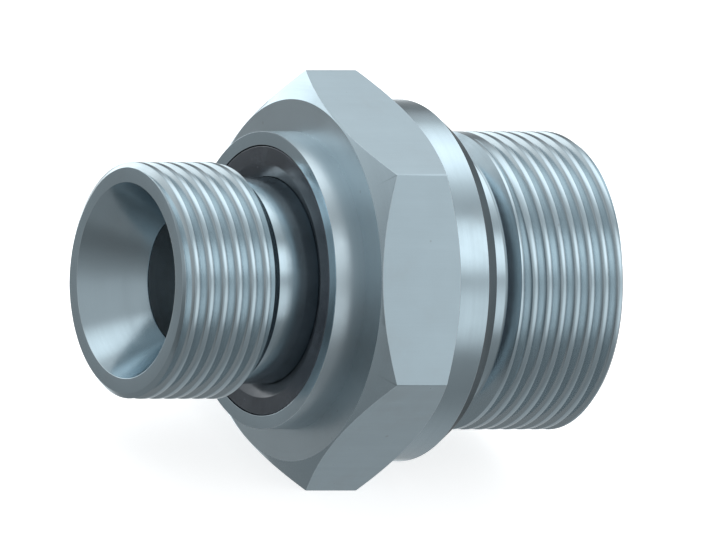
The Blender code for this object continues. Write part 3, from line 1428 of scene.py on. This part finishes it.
@dataclass(frozen=True)
class RubberFinish:
    """Moulded black nitrile rubber with a faint shine, fine grain and a little dust.

    Lengths are in millimetres.
    """

    name: str = "black_nitrile"
    colour: Colour = (0.028, 0.034, 0.043)
    pale: Colour = (0.044, 0.052, 0.064)
    deep: Colour = (0.021, 0.026, 0.033)
    dust: Colour = (0.070, 0.080, 0.095)
    rubbed: Colour = (0.045, 0.053, 0.064)
    cloud_size: float = 4.0
    marks_per_mm: float = 3.0
    mark_relief: float = 0.6
    wear_grain: float = 0.9
    wear_shade: float = 0.6
    speck_spacing: float = 0.7
    speck_share: float = 0.12
    dust_shade: float = 0.5
    dust_roughness: float = 0.25
    roughness: float = 0.18
    smudge: float = 0.10
    shine: float = 0.95
    gleam: Colour = (0.84, 0.92, 1.0)
    skin_scale: float = 9.0
    relief: float = 0.15

    def build(self, effects: SharedEffects, height: float) -> bpy.types.Material:
        """Make the material.

        Args:
            effects: The shared groups.
            height: Height of the axis over the floor.

        Returns:
            The finished material.
        """
        material, sheet, place = new_surface(self.name, height)
        shader = material.node_tree.nodes["Principled BSDF"]
        frame_of = sheet.group(effects.axis_frame, {"Place": place})
        rings = sheet.vector("MULTIPLY", frame_of["Ring"], (self.marks_per_mm,) * 3)
        marks = sheet.group(effects.tool_marks, {"Pattern": rings})
        cloud = sheet.group(effects.cloud, {
            "Place": place, "Size": self.cloud_size, "Plain": (*self.colour, 1.0),
            "Thin": (*self.deep, 1.0), "Thick": (*self.pale, 1.0)})
        specks = sheet.group(effects.specks, {
            "Place": place, "Spacing": self.speck_spacing, "Share": self.speck_share})
        edge = sheet.add("ShaderNodeAttribute", attribute_name=EDGE_ATTRIBUTE).outputs["Fac"]
        rubbed = sheet.group(effects.broken_edge, {
            "Place": place, "Edge": edge, "Grain": self.wear_grain})
        colour = sheet.mix(sheet.math("MULTIPLY", specks["Mask"], self.dust_shade),
                           cloud["Colour"], (*self.dust, 1.0))
        colour = sheet.mix(sheet.math("MULTIPLY", rubbed["Mask"], self.wear_shade),
                           colour, (*self.rubbed, 1.0))
        sheet.plug(shader.inputs["Base Color"], colour)
        rough = sheet.math("MULTIPLY_ADD", cloud["Mask"], self.smudge,
                           self.roughness - self.smudge / 2)
        rough = sheet.math("MULTIPLY_ADD", specks["Mask"], self.dust_roughness, rough)
        sheet.plug(shader.inputs["Roughness"], rough)
        shader.inputs["Specular IOR Level"].default_value = self.shine
        shader.inputs["Specular Tint"].default_value = (*self.gleam, 1.0)
        skin = sheet.noise(place, self.skin_scale, detail=3.0, roughness=0.6)
        relief = sheet.math("MULTIPLY_ADD", marks["Height"], self.mark_relief, skin)
        bump = sheet.add("ShaderNodeBump", {
            "Height": relief, "Strength": self.relief, "Distance": BUMP_DEPTH})
        sheet.plug(shader.inputs["Normal"], bump.outputs[0])
        return material


@dataclass(frozen=True)
class ViewCamera:
    """The camera: a parallel view from the small end, with the axis level in the picture.

    Sight is how near and how far it sees, in metres.
    """

    right: tuple[float, float, float] = (0.8660254, -0.4330127, 0.25)
    up: tuple[float, float, float] = (0.0, 0.5, 0.8660254)
    target: tuple[float, float, float] = (3.04 * MM, 0.41 * MM, 21.00 * MM)
    distance: float = 0.5
    width: float = 80.85 * MM
    sight: Point = (0.01, 10.0)

    def place(self) -> bpy.types.Object:
        """Make the camera and make it the scene's own.

        Returns:
            The camera.
        """
        right = Vector(self.right).normalized()
        up = Vector(self.up).normalized()
        back = right.cross(up).normalized()
        data = bpy.data.cameras.new("camera")
        data.type = "ORTHO"
        data.ortho_scale = self.width
        data.clip_start, data.clip_end = self.sight
        camera = bpy.data.objects.new("camera", data)
        turned = Matrix((right, up, back)).transposed().to_4x4()
        camera.matrix_world = Matrix.Translation(
            Vector(self.target) + back * self.distance) @ turned
        bpy.context.scene.collection.objects.link(camera)
        bpy.context.scene.camera = camera
        return camera


@dataclass(frozen=True)
class Panel:
    """A soft panel far away in the studio, bright or dark, that the metal mirrors.

    Azimuth is in degrees from +X towards +Y, and reach is how far from its middle it fades out.
    """

    azimuth: float
    elevation: float
    reach: float
    strength: float

    def direction(self) -> tuple[float, float, float]:
        """Return the unit vector towards the panel's middle."""
        turn, lift = math.radians(self.azimuth), math.radians(self.elevation)
        return (math.cos(lift) * math.cos(turn), math.cos(lift) * math.sin(turn), math.sin(lift))


@dataclass(frozen=True)
class Studio:
    """A plain pale floor, a white surround and soft light from above, behind and the right.

    The gradient and many of the panels come from a least-squares fit to the brightness of the
    photo, made outside this script, and were then partly changed. The words beside each
    panel name what mirrors it first. Sides are the surfaces that run along the axis: collars,
    flats, necks and crests.
    """

    tint: Colour = (0.955, 0.985, 1.0)
    above: float = 0.56
    below: float = 0.25
    horizon: float = 0.90
    panels: tuple[Panel, ...] = (
        Panel(-41, 40, 20, 1.05),  # The gleam along the sides, just above their middle.
        Panel(40, 44, 27, 0.80),  # The broad light high on the sides.
        Panel(57, 26, 14, 0.12),  # A trace of light near their top.
        Panel(135, 36, 46, 0.30),  # The upper half of the ramps and chamfers.
        Panel(116, 24, 13, 0.10),  # A trace of light near the top of the ramps.
        Panel(100, -6, 20, 1.20),  # The top of the flanks and of the hexagon's chamfer.
        Panel(117, 7, 17, 0.75),  # The same, a little lower down.
        Panel(66, -24, 14, 0.70),  # The flanks above half height, and the foot of the seat.
        Panel(-52, 5, 23, 0.62),  # The second gleam along the sides, below their middle.
        Panel(130, 64, 28, 0.52),  # The bright sector low in the cone seat.
        Panel(11, -45, 45, 0.19),  # The underside.
        Panel(74, -18, 35, 0.98),  # The upper flanks, ramps and chamfers.
        Panel(165, 41, 29, -0.33),  # Dark: the ramps and end chamfers above half height.
        Panel(-137, -8, 43, -0.19),  # Dark: the ramps below half height, and the seat above it.
        Panel(42, 8, 13, 0.90),  # Seen in second reflections only.
        Panel(74, -6, 26, -1.00),  # Dark: between the lights on the upper flanks.
        Panel(30, 52, 29, 0.38),  # Widens the broad light on the sides.
    )
    floor_radius: float = 1.5
    floor_corners: int = 96
    floor_colour: Colour = (0.80, 0.80, 0.80)
    floor_glow: float = 0.72
    lamp_size: float = 0.7
    lamp_power: float = 3.0
    lamp_place: tuple[float, float, float] = (0.25, 0.45, 0.9)

    def build(self) -> None:
        """Make the floor, the surround and the lamp."""
        self._floor()
        self._surround()
        self._lamp()

    def _floor(self) -> None:
        """Lay a wide pale floor under the adapter.

        The picture sees it white, with the adapter's shadow. Metal and clear things look through
        it to the surround, which is a pale floor there too, lit unevenly.
        """
        solid = bmesh.new()
        bmesh.ops.create_circle(
            solid, cap_ends=True, segments=self.floor_corners, radius=self.floor_radius)
        mesh = bpy.data.meshes.new("floor")
        solid.to_mesh(mesh)
        solid.free()
        floor = put_in_scene("floor", mesh)
        material = bpy.data.materials.new("pale_paper")
        material.use_nodes = True
        tree = material.node_tree
        tree.nodes.clear()
        sheet = NodeSheet(tree)
        path = sheet.add("ShaderNodeLightPath").outputs
        paper = sheet.add("ShaderNodeBsdfDiffuse", {"Color": (*self.floor_colour, 1.0)})
        glow = sheet.add("ShaderNodeEmission", {"Color": WHITE, "Strength": self.floor_glow})
        seen = sheet.add("ShaderNodeAddShader", {0: paper.outputs[0], 1: glow.outputs[0]})
        through = sheet.add("ShaderNodeBsdfTransparent")
        mirrored = sheet.math("MAXIMUM", path["Is Glossy Ray"], path["Is Transmission Ray"])
        mixed = sheet.add("ShaderNodeMixShader", {
            0: mirrored, 1: seen.outputs[0], 2: through.outputs[0]})
        sheet.add("ShaderNodeOutputMaterial", {"Surface": mixed.outputs[0]})
        mesh.materials.append(material)

    def _surround(self) -> None:
        """Surround the scene with white for the picture and with soft panels for the metal."""
        world = bpy.data.worlds.new("surround")
        bpy.context.scene.world = world
        world.use_nodes = True
        tree = world.node_tree
        tree.nodes.clear()
        sheet = NodeSheet(tree)
        path = sheet.add("ShaderNodeLightPath").outputs
        towards = sheet.add("ShaderNodeTexCoord").outputs["Generated"]
        height = sheet.add("ShaderNodeSeparateXYZ", {0: towards}).outputs["Z"]
        level = sheet.ramp(height, -self.horizon, self.horizon, self.below, self.above, True)
        for panel in self.panels:
            facing = sheet.vector("DOT_PRODUCT", towards, panel.direction())
            edge = math.cos(math.radians(panel.reach))
            level = sheet.math("ADD", level, sheet.ramp(
                facing, edge, 1.0, 0.0, panel.strength, smooth=True))
        studio = sheet.add("ShaderNodeBackground", {
            "Color": (*self.tint, 1.0), "Strength": level})
        white = sheet.add("ShaderNodeBackground", {"Color": WHITE, "Strength": 1.0})
        plain = sheet.math("MAXIMUM", path["Is Camera Ray"], path["Is Transmission Ray"])
        mixed = sheet.add("ShaderNodeMixShader", {
            0: plain, 1: studio.outputs[0], 2: white.outputs[0]})
        sheet.add("ShaderNodeOutputWorld", {"Surface": mixed.outputs[0]})

    def _lamp(self) -> None:
        """Hang a large soft lamp above and behind the adapter, which mirrors only the panels."""
        data = bpy.data.lights.new("softbox", "AREA")
        data.shape = "SQUARE"
        data.size = self.lamp_size
        data.energy = self.lamp_power
        lamp = bpy.data.objects.new("softbox", data)
        lamp.location = self.lamp_place
        lamp.visible_glossy = False
        lamp.rotation_mode = "QUATERNION"
        lamp.rotation_quaternion = Vector(self.lamp_place).to_track_quat("Z", "Y")
        bpy.context.scene.collection.objects.link(lamp)


def mount_x(name: str) -> float:
    """Look a mount up in the record.

    Args:
        name: The mount's name.

    Returns:
        Its place along the axis.
    """
    for mount in frame["record"]["mounts"]:
        if mount["name"] == name:
            return mount["pos_m"][0]
    raise KeyError(name)


def sized_body() -> AdapterBody:
    """Size the steel body between the ends of the node that it replaces.

    Returns:
        The body, ready to build.
    """
    low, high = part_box(AdapterBody.NODE)
    small_collar = Collar(
        End.SMALL, face_x=mount_x("small_end_collar_face"), length=3.8 * MM,
        diameter=33.2 * MM, recess_diameter=30.16 * MM, recess_depth=1.8 * MM)
    large_collar = Collar(
        End.LARGE, face_x=mount_x("large_end_collar_face"), length=5.4 * MM,
        diameter=40.36 * MM, recess_diameter=35.7 * MM, recess_depth=2.3 * MM)
    return AdapterBody(
        height=(low.z + high.z) / 2,
        small=Stud(
            End.SMALL, face_x=low.x, thread_diameter=26.441 * MM, thread_length=11.33 * MM,
            relief_diameter=23.05 * MM, mouth_diameter=21.9 * MM, bore_diameter=14.0 * MM,
            first_crest=5.22 * MM, fades_in=False, ramp_angle=math.radians(46)),
        large=Stud(
            End.LARGE, face_x=high.x, thread_diameter=33.249 * MM, thread_length=13.55 * MM,
            relief_diameter=30.6 * MM, mouth_diameter=28.2 * MM, bore_diameter=20.0 * MM,
            first_crest=6.35 * MM, fades_in=True, ramp_angle=math.radians(42),
            relief_rounding=0.4 * MM),
        small_collar=small_collar,
        large_collar=large_collar,
        hexagon=Hexagon(
            start_x=small_collar.inner_x, end_x=large_collar.inner_x,
            across_flats=high.z - low.z, face_diameter=large_collar.diameter),
    )


def sized_rings(body: AdapterBody) -> tuple[SealRing, ...]:
    """Size both seal rings, each in the recess of its collar.

    Args:
        body: The steel body.

    Returns:
        The rings, ready to build.
    """
    return (
        SealRing(
            "small_end_seal", End.SMALL, collar_x=body.small_collar.face_x,
            outer_radius=14.98 * MM, front_radius=13.1 * MM, bore_radius=11.58 * MM,
            thickness=1.5 * MM),
        SealRing(
            "large_end_seal", End.LARGE, collar_x=body.large_collar.face_x,
            outer_radius=17.75 * MM, front_radius=16.6 * MM, bore_radius=15.5 * MM,
            thickness=2.0 * MM),
    )


def zinc_finishes() -> dict[Surface, ZincFinish]:
    """Set up the finishes of the plated steel.

    Returns:
        The finish of each kind of surface.
    """
    return {
        Surface.TURNED: ZincFinish(
            "zinc_turned", marks_follow_rings=True, mark_length=0.30, mark_width=0.30,
            mark_shade=0.18, mark_relief=0.10, roughness=0.17),
        Surface.DRAWN: ZincFinish(
            "zinc_drawn", marks_follow_rings=False, mark_length=6.0, mark_width=0.22,
            mark_shade=0.14, mark_relief=0.10, roughness=0.28, smudge=0.02),
        # The threads get painted light on their flanks and a painted highlight with the wear of
        # their crests.
        Surface.THREADED: ZincFinish(
            "zinc_threaded", marks_follow_rings=True, mark_length=0.16, mark_width=0.16,
            mark_shade=0.16, mark_relief=0.06, roughness=0.19, crest_wear_and_highlight=0.08,
            edge_wear=0.3),
        Surface.BORED: ZincFinish(
            "zinc_bored", marks_follow_rings=True, mark_length=0.22, mark_width=0.22,
            mark_shade=0.40, mark_relief=0.30, roughness=0.40, colour=(0.490, 0.550, 0.585)),
        # Painted shade: the plating darkened, with little edge tint, on the large collar's chamfer.
        Surface.PAINTED_SHADE: ZincFinish(
            "zinc_dulled", marks_follow_rings=True, mark_length=0.20, mark_width=0.20,
            mark_shade=0.40, mark_relief=0.12, roughness=0.30, colour=(0.390, 0.445, 0.475),
            edge_tint=0.20),
        Surface.FACED: ZincFinish(
            "zinc_faced", marks_follow_rings=True, mark_length=0.45, mark_width=0.45,
            mark_shade=0.16, mark_relief=0.10, roughness=0.29, colour=(0.545, 0.640, 0.690)),
    }


def main() -> None:
    """Build the adapter, the studio and the camera."""
    logging.basicConfig(level=logging.INFO, format="%(name)s: %(message)s")
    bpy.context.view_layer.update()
    body = sized_body()
    effects = SharedEffects()
    zinc = {
        surface: finish.build(effects, body.height)
        for surface, finish in zinc_finishes().items()
    }
    rubber = RubberFinish().build(effects, body.height)
    steel = body.build(ThreadTree(), zinc)
    log.info("%s: %d faces", steel.name, len(steel.data.polygons))
    for ring in sized_rings(body):
        made = ring.build(body.height, rubber)
        log.info("%s: %d faces", made.name, len(made.data.polygons))
    studio = Studio()
    studio.build()
    log.info("studio: %d panels", len(studio.panels))
    ViewCamera().place()
    bpy.context.scene.view_settings.view_transform = "Standard"


if __name__ == "__main__":
    main()
